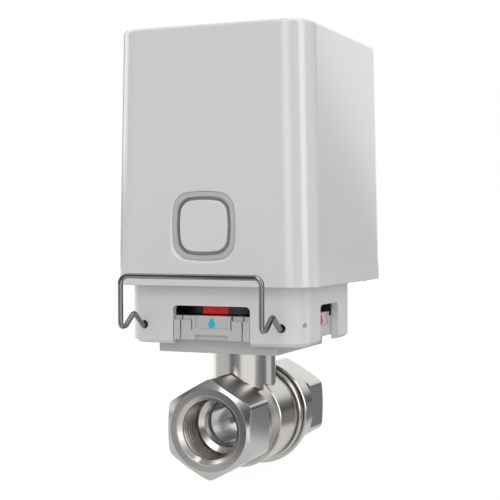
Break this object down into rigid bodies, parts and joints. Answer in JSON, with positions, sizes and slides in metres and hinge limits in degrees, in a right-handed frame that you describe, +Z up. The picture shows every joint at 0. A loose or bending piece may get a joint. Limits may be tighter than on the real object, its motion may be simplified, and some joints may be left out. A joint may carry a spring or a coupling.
{
  "type": "zone valve",
  "caption": "Motorised zone valve: a threaded ball valve with a tall battery powered actuator, push button, wire fixing clip and open or closed indicator windows.",
  "frame": {"origin": "centre of the ball, on the pipe axis under the stem", "axes": "+Z up along the stem towards the actuator, +Y along the pipe away from the button, +X to the right seen from the button"},
  "size_m": [0.0684, 0.0909, 0.1434],
  "materials": {
    "valve_metal": "nickel plated, finely turned",
    "ball_chrome": "polished",
    "stem_steel": "turned",
    "seat_white": "smooth",
    "seal_rubber": "matt",
    "adapter_plastic": "satin moulded",
    "base_plastic": "satin moulded",
    "cover_plastic": "gloss moulded",
    "button_plastic": "gloss moulded",
    "ring_diffuser": "frosted",
    "clip_wire": "drawn spring wire",
    "indicator_black": "matt moulded",
    "indicator_red": "gloss moulded",
    "mark_blue": "printed",
    "mark_red": "printed",
    "gear_plastic": "acetal",
    "gearbox_plastic": "moulded",
    "screw_steel": "zinc plated",
    "motor_can": "drawn",
    "brass": "turned",
    "board_green": "solder resist",
    "chip_black": "moulded",
    "connector_white": "moulded",
    "led_lens": "clear lens",
    "cell_sleeve": "shrink sleeve",
    "holder_plastic": "moulded"
  },
  "bodies": {
    "valve": {"valve_body": "valve_metal", "end_piece": "valve_metal", "front_seat": "seat_white", "rear_seat": "seat_white", "body_gasket": "seat_white", "thrust_washer": "seat_white", "cover_gasket": "seal_rubber", "mounting_adapter": "adapter_plastic", "adapter_nut": "brass", "open_mark": "mark_blue", "closed_mark": "mark_red", "base_frame": "base_plastic", "output_bush": "brass", "gearbox_tray": "gearbox_plastic", "gearbox_lid": "gearbox_plastic", "gearbox_screws": "screw_steel", "motor_screws": "screw_steel", "cover_screws": "screw_steel", "second_axle": "screw_steel", "first_axle": "screw_steel", "motor": "motor_can", "circuit_board": "board_green", "radio_module": "chip_black", "motor_connector": "connector_white", "antenna": "brass", "status_leds": "led_lens", "tact_switch": "chip_black", "light_ring": "ring_diffuser", "battery_holder": "holder_plastic", "battery_contacts": "brass", "cover": "cover_plastic", "cell_1": "cell_sleeve", "cell_2": "cell_sleeve", "cell_3": "cell_sleeve", "cell_4": "cell_sleeve"},
    "ball_drive": {"ball": "ball_chrome", "stem": "stem_steel", "stem_rings": "seal_rubber", "output_gear": "gear_plastic", "indicator_disc": "indicator_black", "indicator_flag": "indicator_red"},
    "second_gear": {"second_gear": "gear_plastic"},
    "first_gear": {"first_gear": "gear_plastic"},
    "motor_rotor": {"motor_pinion": "brass", "motor_shaft": "screw_steel"},
    "push_button": {"button": "button_plastic", "switch_plunger": "chip_black"},
    "wire_clip": {"fixing_clip": "clip_wire"}
  },
  "joints": [
    {"name": "valve_turn", "type": "hinge", "parent": "valve", "child": "ball_drive", "pos_m": [0, 0, 0], "axis": [0, 0, 1], "range_deg": [0, 90]},
    {"name": "second_gear_spin", "type": "hinge", "parent": "valve", "child": "second_gear", "pos_m": [0.00559, 0.02086, 0.05], "axis": [0, 0, 1], "range_deg": [-270, 0]},
    {"name": "first_gear_spin", "type": "hinge", "parent": "valve", "child": "first_gear", "pos_m": [-0.00728, 0.03166, 0.057], "axis": [0, 0, 1], "range_deg": [0, 810]},
    {"name": "motor_spin", "type": "hinge", "parent": "valve", "child": "motor_rotor", "pos_m": [0.00572, 0.02937, 0.062], "axis": [0, 0, 1], "range_deg": [-2430, 0]},
    {"name": "button_press", "type": "slide", "parent": "valve", "child": "push_button", "axis": [0, 1, 0], "range_m": [0, 0.0005], "stiffness_N_per_m": 2000, "springref_m": -0.0005},
    {"name": "clip_pull", "type": "slide", "parent": "valve", "child": "wire_clip", "axis": [0, -1, 0], "range_m": [0, 0.047]}
  ],
  "couplings": [
    {"joint": "second_gear_spin", "follows": "valve_turn", "ratio": -3},
    {"joint": "first_gear_spin", "follows": "valve_turn", "ratio": 9},
    {"joint": "motor_spin", "follows": "valve_turn", "ratio": -27}
  ]
}
